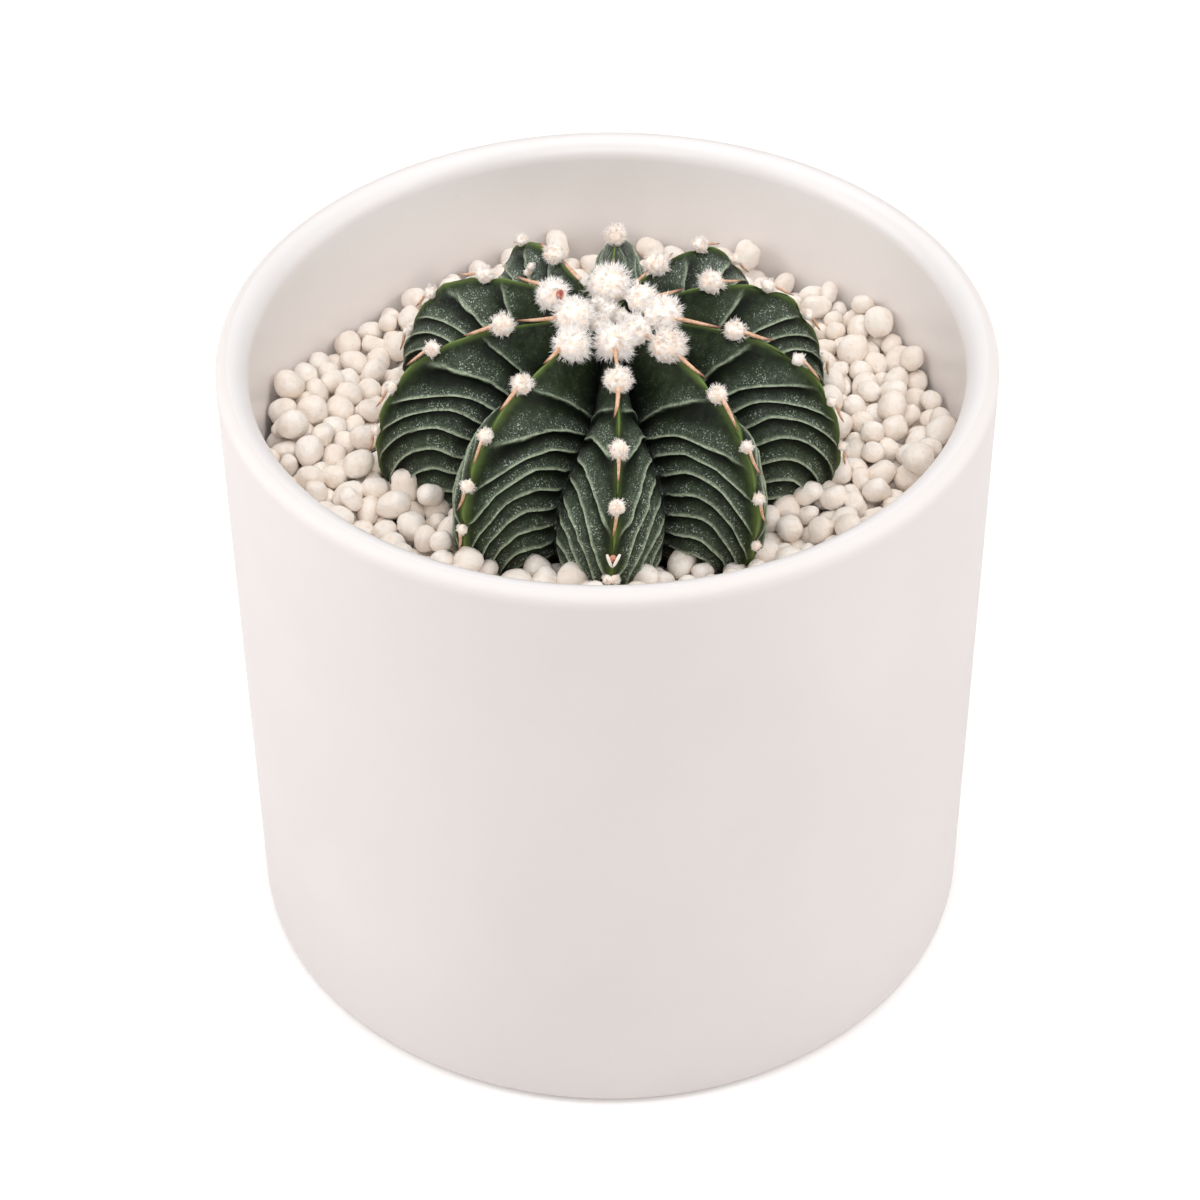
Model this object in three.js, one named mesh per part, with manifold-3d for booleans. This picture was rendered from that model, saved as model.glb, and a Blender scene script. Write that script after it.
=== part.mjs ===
// A round ribbed cactus in a straight white ceramic pot, its soil covered with cream pebbles.
// Millimetres, +Z up. The pot stands on z = 0 and its axis is the Z axis.
import * as THREE from 'three';
import { mergeVertices } from 'three/addons/utils/BufferGeometryUtils.js';
import Module from 'manifold-3d';

const wasm = await Module();
wasm.setup();

// ---------------------------------------------------------------- driving dimensions

const POT_RADIUS = 60;
const POT_HEIGHT = 108;
const WALL = 5;
const FLOOR_TOP = 7.5;
const RIM_ROUND = 2.3;
const BASE_ROUND = 2;
const FOOT_WIDTH = 9;
const FOOT_HEIGHT = 1.5;
const DRAIN_RADIUS = 5;
const INNER_CORNER = 5;
const INNER_RADIUS = POT_RADIUS - WALL;
const POT_SIDES = 44;
const FILL_SIDES = 24;        // sides of the soil and of the pebble bed, which the pot hides

const GAP = 0.35;             // left between pieces that rest against each other
const RIM = POT_HEIGHT;       // heights of the planting are given from the rim, minus is below it
const SOIL_TOP = -31;
const BED_TOP = -23.8;        // of the fused lower pebbles, out of which the upper ones stand
const BED_INNER_RADIUS = 14;
const BED_CLEARANCE = 2.2;    // kept between the pebble bed and the stem
const WOOL_CLEARANCE = 0.5;   // kept between the crown's wool and the stem

// Each rib: its direction round the plant in degrees, and how far from the middle of the crown,
// along the crest, its woolly areoles sit.
const RIBS = [
  { azimuth: -87.9, areoles: [7.3, 17.5, 29.6, 38.1, 46.6] },
  { azimuth: -50.8, areoles: [13.7, 24.8, 33.8, 42.1, 50.2] },
  { azimuth: -14.0, areoles: [8.1, 19.6, 29.8, 38.6, 46.8] },
  { azimuth: 23.6, areoles: [5.2, 17.5, 27.9, 37.4, 45.8] },
  { azimuth: 56.0, areoles: [13.9, 26.9, 36.2, 44.6] },
  { azimuth: 86.8, areoles: [6.5, 21.8, 32.4, 41.2, 49.4] },
  { azimuth: 118.1, areoles: [17.6, 30.4, 39.6, 47.9] },
  { azimuth: 151.5, areoles: [9.7, 22.6, 33.4, 42.2, 50.1] },
  { azimuth: 191.9, areoles: [5.1, 16.4, 27.3, 36.0, 44.3] },
  { azimuth: 232.4, areoles: [9.6, 21.7, 31.4, 39.5, 46.8] },
];
const PLANT_X = 0.26;         // the plant stands this far off the pot's axis

// Side outlines of a rib's crest and of the groove between two ribs: distance from the plant's
// axis, and height from the pot's rim, from the crown down to the collar of the root.
const CREST = [
  [0, 3.4], [4, 4.4], [8.5, 5], [13, 5.1], [17.5, 4.8], [22, 4], [26.3, 2.6], [30, 0.2],
  [33, -3.4], [35.1, -7.8], [36.1, -12.6], [35.9, -17.5], [34.2, -22], [30.6, -25.6],
  [25.5, -27.9], [19, -29.3], [12, -30],
];
const GROOVE = [
  [0, 3.4], [3.2, 2.2], [7, -0.9], [11.3, -3.9], [16, -5.5], [20.2, -7.7], [23.6, -11.2],
  [25.4, -15.6], [25.7, -20.2], [24, -24.6], [19, -28.3], [12, -30],
];
const ROOT = [[5, -30.7], [4.4, -38], [2.6, -47.5]];
const ROOT_END = -50;
const ROOT_CLEARANCE = GAP + 2 * PLANT_X;

// The bands of the flanks. Places along the groove, and widths, are parts of its whole length.
const FIRST_BAND = 0.243;
const BAND_STEP = 0.0525;
const BANDS = 8;
const BAND_HEIGHT = 0.75;
const BAND_UNDERCUT = 0.16;   // width of the step under a band's lip, in band steps
const BAND_SWEEP = 0.205;     // how much further down a band starts on the crest
const SWEEP_LENGTH = 0.12;    // how soon the sweep sets in below the first band
const SWEEP_END = 0.62;       // where it starts to fade towards the collar
const SWEEP_POWER = 2.35;
const CREST_BLUNT = 0.04;
const NOTCH_DEPTH = 0.8;
const NOTCH_HALF_WIDTH = 1.7;
const FLANK_COLUMNS = [0.16, 0.58];
const CROWN_ROWS = [0.04, 0.09, 0.14, 0.19];
const BASE_ROWS = [0.72, 0.8, 0.88, 0.95];
const PLAIN_ROWS = [0.05, 0.12, 0.2, 0.28, 0.36, 0.44, 0.52, 0.6, 0.68, 0.77, 0.86, 0.94];

// Wool and spines. An areole within CROWN_REACH of the middle joins the wool of the crown.
const CROWN_REACH = 12;
const LARGE_TUFT_REACH = 15;
const LARGE_TUFT = 3.2;
const SMALL_TUFT = 0.95;
const WOOLLY_MIDDLE = { radius: 7.9, flatness: 0.44, x: -0.14, y: 0.3, height: 3.8 };
const LONG_SPINE = { reach: 22, length: 6, radius: 0.42, start: 0.6 };
const SHORT_SPINE = { reach: Infinity, length: 4.2, radius: 0.34, start: 0.9 };

const PEBBLE_RADIUS = 3.35;   // larger than life, so that fewer of them cover the soil
const PEBBLE_SPACING = 7.1;
const PEBBLE_RINGS = 6;
const PEBBLE_STAND = 1.3;     // height of the pebbles' middles over the bed
const PEBBLE_SEED = 11;

// ---------------------------------------------------------------- helpers

function seededRandom(seed) {
  let state = seed;
  return () => {
    state = (state + 0x6d2b79f5) | 0;
    let t = Math.imul(state ^ (state >>> 15), 1 | state);
    t = (t + Math.imul(t ^ (t >>> 7), 61 | t)) ^ t;
    return ((t ^ (t >>> 14)) >>> 0) / 4294967296;
  };
}

function toSolid(geometry) {
  const bare = geometry.index ? geometry.clone() : geometry;
  bare.deleteAttribute('normal');
  bare.deleteAttribute('uv');
  const merged = mergeVertices(bare, 1e-4);
  return new wasm.Manifold(new wasm.Mesh({
    numProp: 3,
    vertProperties: new Float32Array(merged.attributes.position.array),
    triVerts: new Uint32Array(merged.index.array),
  }));
}

function toGeometry(solid) {
  const mesh = solid.getMesh();
  const geometry = new THREE.BufferGeometry();
  geometry.setAttribute('position', new THREE.BufferAttribute(mesh.vertProperties, 3));
  geometry.setIndex(new THREE.BufferAttribute(mesh.triVerts, 1));
  return geometry;
}

function joinAll(solids) {
  return solids.reduce((whole, solid) => whole.add(solid));
}

// A stone that lies loose once the bed is cut clear of the stem is dropped.
function largestBody(solid) {
  return solid.decompose().reduce((best, body) => (body.volume() > best.volume() ? body : best));
}

// A turned piece: the profile is a list of [radius, height] that starts and ends on the axis or
// closes on itself.
function turned(profile, sides) {
  const points = profile.map(([radius, height]) => new THREE.Vector2(radius, height));
  return new THREE.LatheGeometry(points, sides).rotateX(Math.PI / 2);
}

function arc(centreX, centreY, radius, fromDegrees, toDegrees, steps) {
  return Array.from({ length: steps + 1 }, (_, i) => {
    const angle = THREE.MathUtils.degToRad(fromDegrees + ((toDegrees - fromDegrees) * i) / steps);
    return [centreX + radius * Math.cos(angle), centreY + radius * Math.sin(angle)];
  });
}

function meshOf(name, geometry, colour, roughness) {
  const material = new THREE.MeshStandardMaterial({ color: colour, roughness, metalness: 0 });
  const mesh = new THREE.Mesh(geometry, material);
  mesh.name = name;
  return mesh;
}

// ---------------------------------------------------------------- pot and soil

function potGeometry() {
  const footInner = POT_RADIUS - FOOT_WIDTH;
  const profile = [
    [DRAIN_RADIUS, FOOT_HEIGHT],
    [footInner - FOOT_HEIGHT, FOOT_HEIGHT],
    [footInner, 0],
    ...arc(POT_RADIUS - BASE_ROUND, BASE_ROUND, BASE_ROUND, -90, 0, 2),
    ...arc(POT_RADIUS - RIM_ROUND, POT_HEIGHT - RIM_ROUND, RIM_ROUND, 0, 90, 3),
    ...arc(INNER_RADIUS + RIM_ROUND, POT_HEIGHT - RIM_ROUND, RIM_ROUND, 90, 180, 3),
    ...arc(INNER_RADIUS - INNER_CORNER, FLOOR_TOP + INNER_CORNER, INNER_CORNER, 0, -90, 2),
    [DRAIN_RADIUS, FLOOR_TOP],
    [DRAIN_RADIUS, FOOT_HEIGHT],
  ];
  return turned(profile, POT_SIDES);
}

function soilGeometry() {
  const outer = INNER_RADIUS - GAP;
  const top = RIM + SOIL_TOP;
  const bottom = FLOOR_TOP + GAP;
  const hole = ROOT.map(([radius, height]) => [radius + ROOT_CLEARANCE, RIM + height]);
  const profile = [
    [0, bottom],
    ...arc(outer - INNER_CORNER, bottom + INNER_CORNER, INNER_CORNER, -90, 0, 2),
    [outer, top],
    ...hole.with(0, [hole[0][0], top]),
    [0, RIM + ROOT_END - GAP],
  ];
  return turned(profile, FILL_SIDES);
}

// ---------------------------------------------------------------- cactus stem

const crestCurve = outline(CREST);
const grooveCurve = outline(GROOVE);
const CREST_LENGTH = crestCurve.getLength();

function outline(points) {
  const vectors = points.map(([radius, height]) => new THREE.Vector3(radius, height, 0));
  const curve = new THREE.CatmullRomCurve3(vectors, false, 'catmullrom', 0.5);
  curve.arcLengthDivisions = 400;
  return curve;
}

// How far down the crest a band that meets the groove at g starts: nothing at the crown, most at
// the plant's widest, and nothing again at the collar.
function sweep(g) {
  const rise = 1 - Math.exp(-Math.max(g - FIRST_BAND, 0) / SWEEP_LENGTH);
  const fall = Math.min(1, (1 - g) / (1 - SWEEP_END));
  return BAND_SWEEP * rise * fall;
}

// A band's stepped profile across its width: it stands out more and more down to its lip, then
// steps back in under it. The bands of a rib's two flanks lie half a step apart: phase 0 or 0.5.
function bandProfile(g, phase) {
  const place = (g - FIRST_BAND) / BAND_STEP - phase;
  if (place < -1 || place > BANDS) return 0;
  const part = THREE.MathUtils.euclideanModulo(place, 1);
  const fade = Math.min(1, (place + 1) / 2);
  if (part < BAND_UNDERCUT) return fade * (1 - part / BAND_UNDERCUT);
  return (fade * (part - BAND_UNDERCUT)) / (1 - BAND_UNDERCUT);
}

// The crest dips where an areole sits.
function notch(distance, areoles) {
  return areoles.reduce((deepest, areole) => {
    const off = (distance - areole) / NOTCH_HALF_WIDTH;
    return Math.max(deepest, Math.exp(-off * off));
  }, 0);
}

// The bare flank of a rib, before bands and notches. a runs from the crest, 0, to the groove, 1,
// and g from the crown to the collar along the groove. halfAngle is signed.
function flankPoint(rib, halfAngle, a, g) {
  const w = Math.min(1, g + sweep(g) * (1 - a) ** SWEEP_POWER);
  const crest = crestCurve.getPointAt(w);
  const groove = grooveCurve.getPointAt(w);
  const blunt = Math.sqrt(a * a + CREST_BLUNT ** 2) - CREST_BLUNT * (1 - a);
  const side = crest.lerp(groove, blunt);
  const angle = THREE.MathUtils.degToRad(rib.azimuth) + a * halfAngle;
  return new THREE.Vector3(
    PLANT_X + side.x * Math.cos(angle), side.x * Math.sin(angle), RIM + side.y);
}

// The way out of the plant at a point of the flank, by small steps along it and across it. On
// the crest and in the groove it lies in the upright plane that both flanks share.
function outward(rib, halfAngle, a, g) {
  const step = 0.004;
  const along = flankPoint(rib, halfAngle, a, Math.min(1, g + step)).sub(
    flankPoint(rib, halfAngle, a, g - step));
  const across = flankPoint(rib, halfAngle, Math.min(1, a + step), g).sub(
    flankPoint(rib, halfAngle, Math.max(0, a - step), g));
  const normal = along.cross(across).multiplyScalar(Math.sign(halfAngle));
  if (a === 0 || a === 1) {
    const angle = THREE.MathUtils.degToRad(rib.azimuth) + a * halfAngle;
    const beside = new THREE.Vector3(-Math.sin(angle), Math.cos(angle), 0);
    normal.addScaledVector(beside, -normal.dot(beside));
  }
  return normal.normalize();
}

// A point of the living surface: bands raised on the flanks, notches cut in the crest.
function stemVertex(rib, halfAngle, a, g, phase) {
  const distance = CREST_LENGTH * Math.min(1, g + sweep(g));
  const shown = a === 1 ? 0 : Math.min(1, 2.2 * a);
  const raised = a === 0
    ? -NOTCH_DEPTH * notch(distance, rib.areoles)
    : BAND_HEIGHT * shown * bandProfile(g, phase);
  return flankPoint(rib, halfAngle, a, g).addScaledVector(outward(rib, halfAngle, a, g), raised);
}

function halfAngleTo(rib, other) {
  const turn = THREE.MathUtils.euclideanModulo(other.azimuth - rib.azimuth + 180, 360) - 180;
  return THREE.MathUtils.degToRad(turn / 2);
}

// Rows of the stem, from the crown down: where bands run, one row at each lip and one under it,
// for the flanks of phase 0 and those of phase 0.5 alike.
function bandedRows() {
  const rows = [...CROWN_ROWS];
  for (let band = 0; band < BANDS; band += 1) {
    for (const part of [0, BAND_UNDERCUT, 0.5, 0.5 + BAND_UNDERCUT]) {
      rows.push(FIRST_BAND + (band + part) * BAND_STEP);
    }
  }
  return [...rows, ...BASE_ROWS];
}

// Closes a grid of rings, each a list of points, with a pole above and one below.
function closedRings(rings, top, bottom) {
  const sides = rings[0].length;
  const positions = [top, ...rings.flat(), bottom].flatMap((p) => [p.x, p.y, p.z]);
  const faces = [];
  const at = (row, column) => 1 + row * sides + (column % sides);
  const last = 1 + rings.length * sides;
  for (let column = 0; column < sides; column += 1) {
    faces.push(0, at(0, column), at(0, column + 1));
    faces.push(last, at(rings.length - 1, column + 1), at(rings.length - 1, column));
    for (let row = 0; row < rings.length - 1; row += 1) {
      faces.push(at(row, column), at(row + 1, column), at(row + 1, column + 1));
      faces.push(at(row, column), at(row + 1, column + 1), at(row, column + 1));
    }
  }
  const geometry = new THREE.BufferGeometry();
  geometry.setAttribute('position', new THREE.Float32BufferAttribute(positions, 3));
  geometry.setIndex(faces);
  return geometry;
}

// grow 0 gives the stem itself with bands and root; more gives a plain stem that is larger all
// round, with which its neighbours are cut clear.
function stemSolid(grow = 0) {
  const rows = grow ? PLAIN_ROWS : bandedRows();
  const ring = (g) => RIBS.flatMap((rib, index) => {
    const next = RIBS[(index + 1) % RIBS.length];
    const ahead = halfAngleTo(rib, next);
    const behind = halfAngleTo(next, rib);
    const vertex = (owner, halfAngle, a, phase) => (grow
      ? flankPoint(owner, halfAngle, a, g).addScaledVector(outward(owner, halfAngle, a, g), grow)
      : stemVertex(owner, halfAngle, a, g, phase));
    return [
      vertex(rib, ahead, 0, 0),
      ...FLANK_COLUMNS.map((a) => vertex(rib, ahead, a, 0)),
      vertex(rib, ahead, 1, 0),
      ...FLANK_COLUMNS.toReversed().map((a) => vertex(next, behind, a, 0.5)),
    ];
  });
  const rings = rows.map(ring);
  const lowest = rings[rings.length - 1];
  const rootRings = [CREST.at(-1), ...ROOT].map(([radius, height]) => lowest.map((point) => {
    const angle = Math.atan2(point.y, point.x - PLANT_X);
    return new THREE.Vector3(
      PLANT_X + (radius + grow) * Math.cos(angle), (radius + grow) * Math.sin(angle), RIM + height);
  }));
  const top = new THREE.Vector3(PLANT_X, 0, RIM + CREST[0][1] + grow);
  const bottom = new THREE.Vector3(PLANT_X, 0, RIM + ROOT_END - grow);
  return toSolid(closedRings([...rings, ...rootRings], top, bottom));
}

// ---------------------------------------------------------------- wool and spines

// Tufts are large on the crown and shrink with their distance down the crest.
function tuftRadius(distance) {
  if (distance < LARGE_TUFT_REACH) return LARGE_TUFT;
  return SMALL_TUFT + 2.1 * Math.exp(-(distance - 9) / 12);
}

// A point over a rib's crest, lift above it.
function crestPlace(rib, distance, lift) {
  const w = distance / CREST_LENGTH;
  const point = crestCurve.getPointAt(w);
  const tangent = crestCurve.getTangentAt(w);
  const angle = THREE.MathUtils.degToRad(rib.azimuth);
  const radius = point.x - tangent.y * lift;
  const height = point.y + tangent.x * lift;
  return new THREE.Vector3(
    PLANT_X + radius * Math.cos(angle), radius * Math.sin(angle), RIM + height);
}

function ball(centre, radius, detail, turn) {
  const geometry = new THREE.IcosahedronGeometry(radius, detail);
  return toSolid(geometry.rotateX(turn).rotateZ(turn * 1.7).translate(centre.x, centre.y, centre.z));
}

function tuft(rib, distance) {
  const radius = tuftRadius(distance) * 0.92;
  const centre = crestPlace(rib, distance, radius * 0.35 - NOTCH_DEPTH * 0.5);
  return ball(centre, radius, distance < LARGE_TUFT_REACH ? 1 : 0, distance);
}

// A three-sided spine leaves its tuft down the crest. Its root is sunk in the crest, and it lies
// close over it and lifts a little towards its tip.
function spine(rib, distance) {
  const kind = distance < LONG_SPINE.reach ? LONG_SPINE : SHORT_SPINE;
  const start = distance + kind.start * tuftRadius(distance) - 1;
  const place = (part, lift) => crestPlace(rib, start + kind.length * part, lift);
  const along = place(1, 0).sub(place(0, 0)).normalize();
  const angle = THREE.MathUtils.degToRad(rib.azimuth);
  const beside = new THREE.Vector3(-Math.sin(angle), Math.cos(angle), 0);
  const over = beside.clone().cross(along);
  const section = (part, share, lift) => [30, 150, 270].map((degrees) => {
    const turn = THREE.MathUtils.degToRad(degrees);
    return place(part, lift)
      .addScaledVector(beside, kind.radius * share * Math.cos(turn))
      .addScaledVector(over, kind.radius * share * Math.sin(turn));
  });
  const rings = [section(0, 1, -0.5), section(0.6, 0.8, 0.25)];
  return toSolid(closedRings(rings, place(-0.04, -0.7), place(1, 0.75)));
}

// Every areole carries a tuft and a spine. On the crown the wool is a piece of its own, and the
// spines come out from under it, clear of it.
function cactusSolid(stem) {
  const growths = RIBS.flatMap((rib) => rib.areoles.flatMap((distance) => (
    distance < CROWN_REACH ? [spine(rib, distance + 2.2)] : [tuft(rib, distance), spine(rib, distance)])));
  return joinAll([stem, ...growths]);
}

// The tufts of the innermost areoles run together round a low woolly middle.
function crownWoolSolid(raisedStem) {
  const { radius, flatness, x, y, height } = WOOLLY_MIDDLE;
  const middle = new THREE.IcosahedronGeometry(radius, 1)
    .scale(1, 1, flatness)
    .translate(x, y, RIM + height);
  const tufts = RIBS.flatMap((rib) => rib.areoles
    .filter((distance) => distance < CROWN_REACH)
    .map((distance) => ball(crestPlace(rib, distance, 1.3), tuftRadius(distance), 1, distance)));
  return joinAll([toSolid(middle), ...tufts]).subtract(raisedStem);
}

// ---------------------------------------------------------------- pebbles

function pebbleBedSolid(largerStem) {
  const outer = INNER_RADIUS - GAP;
  const bottom = RIM + SOIL_TOP + GAP;
  const top = RIM + BED_TOP;
  const inner = BED_INNER_RADIUS;
  const profile = [[inner, bottom], [outer, bottom], [outer, top], [inner, top], [inner, bottom]];
  return toSolid(turned(profile, FILL_SIDES)).subtract(largerStem);
}

// Stones lie in rings from the wall inwards, each a little off its place. One that would reach
// the cactus is left out, so the innermost rings only fill the hollows between the ribs.
function pebblePlaces(cactusPoints) {
  const random = seededRandom(PEBBLE_SEED);
  const within = (spread) => spread * (2 * random() - 1);
  const places = [];
  for (let ring = 0; ring < PEBBLE_RINGS; ring += 1) {
    const ringRadius = INNER_RADIUS - GAP - 1.08 * PEBBLE_RADIUS - ring * PEBBLE_SPACING * 0.88;
    const count = Math.floor((2 * Math.PI * ringRadius) / PEBBLE_SPACING);
    for (let i = 0; i < count; i += 1) {
      const size = PEBBLE_RADIUS + within(0.15);
      const angle = (2 * Math.PI * (i + 0.5 * (ring % 2) + within(0.12))) / count;
      const radius = ringRadius - (ring ? within(0.5) : 0);
      const centre = new THREE.Vector3(
        radius * Math.cos(angle), radius * Math.sin(angle),
        RIM + BED_TOP + PEBBLE_STAND + within(0.4));
      const turn = 6 * random();
      if (cactusPoints.every((point) => point.distanceTo(centre) > size + 1)) {
        places.push({ centre, size, turn, flat: 0.9 + within(0.08) });
      }
    }
  }
  return places;
}

function pebble({ centre, size, turn, flat }) {
  const geometry = new THREE.IcosahedronGeometry(size, 0);
  geometry.rotateX(turn).scale(1.04, 1.04 * flat, flat).rotateZ(turn * 2.3);
  return toSolid(geometry.translate(centre.x, centre.y, centre.z));
}

function pebblesSolid(largerStem, cactusPoints) {
  const stones = pebblePlaces(cactusPoints).map(pebble);
  return largestBody(joinAll([pebbleBedSolid(largerStem), ...stones]));
}

// ---------------------------------------------------------------- the whole plant in its pot

function pointsOf(solid) {
  const { vertProperties } = solid.getMesh();
  return Array.from({ length: vertProperties.length / 3 }, (_, i) => (
    new THREE.Vector3().fromArray(vertProperties, i * 3)));
}

const cactus = cactusSolid(stemSolid());
const pebbles = pebblesSolid(stemSolid(BED_CLEARANCE), pointsOf(cactus));
const crownWool = crownWoolSolid(stemSolid(WOOL_CLEARANCE));
const pottedCactus = new THREE.Group();
pottedCactus.add(
  meshOf('pot', potGeometry(), 0xf1ecea, 0.55),
  meshOf('soil', soilGeometry(), 0x4a3b2e, 1),
  meshOf('pebbles', toGeometry(pebbles), 0xebdecf, 0.7),
  meshOf('cactus', toGeometry(cactus), 0x3f5238, 0.6),
  meshOf('crown_wool', toGeometry(crownWool), 0xf3e8da, 0.95),
);

export default pottedCactus;
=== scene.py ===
"""A round ribbed cactus in a straight white ceramic pot, its soil covered with cream pebbles.

Shapes are worked out in millimetres, +Z up from the surface that the pot stands on, and go into
their meshes in metres. Heights of the planting are given from the pot's rim, downwards minus.
"""
import math

import bpy
import numpy as np
from mathutils import Euler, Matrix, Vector


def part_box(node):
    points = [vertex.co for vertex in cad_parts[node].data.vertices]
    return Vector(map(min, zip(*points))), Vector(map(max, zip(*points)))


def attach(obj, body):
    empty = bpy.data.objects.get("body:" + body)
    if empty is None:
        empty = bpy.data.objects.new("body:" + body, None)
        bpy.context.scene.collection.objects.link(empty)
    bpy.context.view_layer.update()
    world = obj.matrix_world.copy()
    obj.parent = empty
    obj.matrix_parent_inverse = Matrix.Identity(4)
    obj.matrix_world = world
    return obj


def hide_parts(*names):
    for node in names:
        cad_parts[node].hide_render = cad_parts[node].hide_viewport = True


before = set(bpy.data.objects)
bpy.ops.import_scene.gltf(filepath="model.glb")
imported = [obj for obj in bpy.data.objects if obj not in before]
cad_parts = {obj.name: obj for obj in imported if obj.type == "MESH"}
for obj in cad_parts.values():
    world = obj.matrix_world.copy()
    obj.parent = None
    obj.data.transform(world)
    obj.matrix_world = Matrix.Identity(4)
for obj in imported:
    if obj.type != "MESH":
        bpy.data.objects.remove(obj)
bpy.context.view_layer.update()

MM = 0.001
TAU = 2 * math.pi

# -------------------- driving dimensions

POT_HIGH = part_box("pot")[1] / MM
POT_RADIUS = POT_HIGH.x
RIM = POT_HIGH.z
WALL = 5.0
FLOOR_TOP = 7.5
RIM_ROUND = 1.8               # outside
RIM_ROUND_INSIDE = 3.2
BASE_ROUND = 2.0
FOOT_WIDTH = 9.0
FOOT_HEIGHT = 1.5
DRAIN_RADIUS = 5.0
INNER_CORNER = 5.0
INNER_RADIUS = POT_RADIUS - WALL
POT_SIDES = 192

PLANT_X = 0.26                # the plant stands this far off the pot's axis
CREST = [
    (0, 3.4), (4, 4.4), (8.5, 5), (13, 5.1), (17.5, 4.8), (22, 4), (26.3, 2.6), (30, 0.2),
    (33, -3.4), (35.1, -7.8), (36.1, -12.6), (35.9, -17.5), (34.2, -22), (30.6, -25.6),
    (25.5, -27.9), (19, -29.3), (12, -30)]
GROOVE = [
    (0, 3.4), (3.2, 2.2), (7, -0.9), (11.3, -3.9), (16, -5.5), (20.2, -7.7), (23.6, -11.2),
    (25.4, -15.6), (25.7, -20.2), (24, -24.6), (19, -28.3), (12, -30)]
ROOT = [(5, -30.7), (4.4, -38), (2.6, -47.5)]
ROOT_END = -50

# How a rib's bands sweep down its crest: the strength, the power of (1 - a), the place along the
# groove where the sweep is whole, and what the lowest bands add to it. The last value is how far the
# crest reaches out, to what CREST says.
PLAIN = (1.0, 3.1, 0.33, 0.0, 1.0)
FRONT = (1.15, 1.9, 0.42, 0.0, 1.0)
SIDE = (1.0, 3.1, 0.33, 0.12, 1.02)
# Each rib: its direction in degrees where its crest has come LEAN_FROM of its way down, its lean,
# the degrees that it would turn over the whole way, its width to that of the others, the phases of
# the bands on its flanks ahead and behind, counterclockwise and clockwise of the crest, their sweep,
# and its areoles as (distance from the middle of the crown along the crest, radius of the wool tuft,
# length of the spine that shows). Where the radius is 0, the wool is part of the crown's, or it is
# the V of the front rib.
RIBS = [
    (-87.3, -10.3, 0.52, 0.64, 0.56, FRONT,
     [(7.3, 0, 5.6), (17.2, 2.3, 5.0), (29.4, 1.6, 3.2), (37.7, 1.4, 3.1), (46.4, 0, 0)]),
    (-49.8, -11.8, 1.0, 0.15, 0.67, PLAIN,
     [(6.0, 0, 3.0), (13.2, 2.95, 5.5), (24.6, 1.65, 4.6), (33.6, 1.1, 3.6), (41.7, 1.05, 3.2),
      (50.0, 0.9, 0)]),
    (-13.1, -5.6, 1.0, 0.0, 0.5, SIDE,
     [(8.1, 0, 6.8), (19.3, 1.8, 4.2), (29.6, 1.2, 3.6), (38.3, 1.0, 3.0), (46.6, 0.9, 2.5)]),
    (23.1, -21.6, 1.0, 0.1, 0.6, PLAIN,
     [(5.2, 0, 5.4), (17.8, 2.1, 3.5), (27.6, 1.3, 3.2), (36.6, 1.05, 3.0), (45.2, 0.9, 2.5)]),
    (54.0, -26.0, 1.0, 0.0, 0.45, PLAIN,
     [(7.0, 0, 3.0), (14.6, 2.2, 2.4), (25.8, 1.5, 3.2), (35.6, 1.1, 3.0), (44.6, 0.95, 2.5)]),
    (86.8, 0.0, 0.55, 0.05, 0.55, PLAIN,
     [(6.5, 0, 5.0), (21.8, 1.9, 3.0), (32.4, 1.2, 3.0), (41.2, 1.0, 3.0), (49.4, 0.9, 0)]),
    (117.8, 0.0, 1.0, 0.0, 0.5, PLAIN,
     [(8.2, 0, 5.2), (18.0, 1.95, 3.4), (30.3, 1.2, 3.2), (39.6, 1.0, 3.0), (47.9, 0.9, 2.5)]),
    (150.0, 22.0, 1.0, 0.1, 0.45, PLAIN,
     [(9.7, 0, 5.0), (22.7, 1.6, 3.4), (33.8, 1.2, 3.0), (42.2, 1.0, 3.0), (50.1, 0.9, 0)]),
    (191.0, 2.0, 1.0, 0.05, 0.5, SIDE,
     [(5.1, 0, 6.6), (16.2, 2.0, 4.0), (27.1, 1.4, 3.4), (36.0, 1.1, 3.0), (44.3, 0.95, 2.6)]),
    (232.4, 0.0, 1.0, 0.29, 0.6, PLAIN,
     [(9.6, 0, 4.4), (21.3, 1.8, 4.0), (31.0, 1.3, 3.4), (39.0, 1.2, 3.0), (46.4, 0.95, 2.6)]),
]
FRONT_RIB = 0
BACK_RIBS = range(3, 8)       # their tufts are a piece of their own
LEAN_FROM = 0.375
LEAN_TO = 0.62                # lower down a crest leans no further
WIDTHS_SHOW = (0.22, 0.56)    # the ribs' widths count above the first place, not under the second
UPPER_POWER = 1.7             # the power of (1 - a) in the sweep of the highest bands
# The lowest areoles of the front rib have split. One is a V of two thin wings: its half width, its top
# and foot along the crest, and a wing's radii. One has two lobes: their radius, how far each is aside,
# and their place along the crest.
V_AREOLE = (0.95, 45.2, 47.7)
V_THICK = (0.2, 0.27, 0.27, 0.22)
TWO_LOBES = (0.9, 0.55, 49.9)
# The bare skin in both: how far down the crest from the V's top or the lobes, how high over the crest,
# and its half axes.
V_SCAR = (0.8, -0.05, (0.5, 0.35, 0.62))
LOBES_SCAR = (0.1, 0.1, (0.32, 0.4, 0.45))
# A withered bud on the crown's wool: x, y, height over the rim, and its half axes.
BUD = (-7.1, 2.2, 7.4)
BUD_SIZE = (0.62, 0.65, 0.9)
# The two balls of a flake of wool on a flank of the back, and their radius.
FLAKE = [(-12.3, 17.8, 0.5), (-11.8, 17.8, 1.5)]
FLAKE_RADIUS = 0.8
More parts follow.
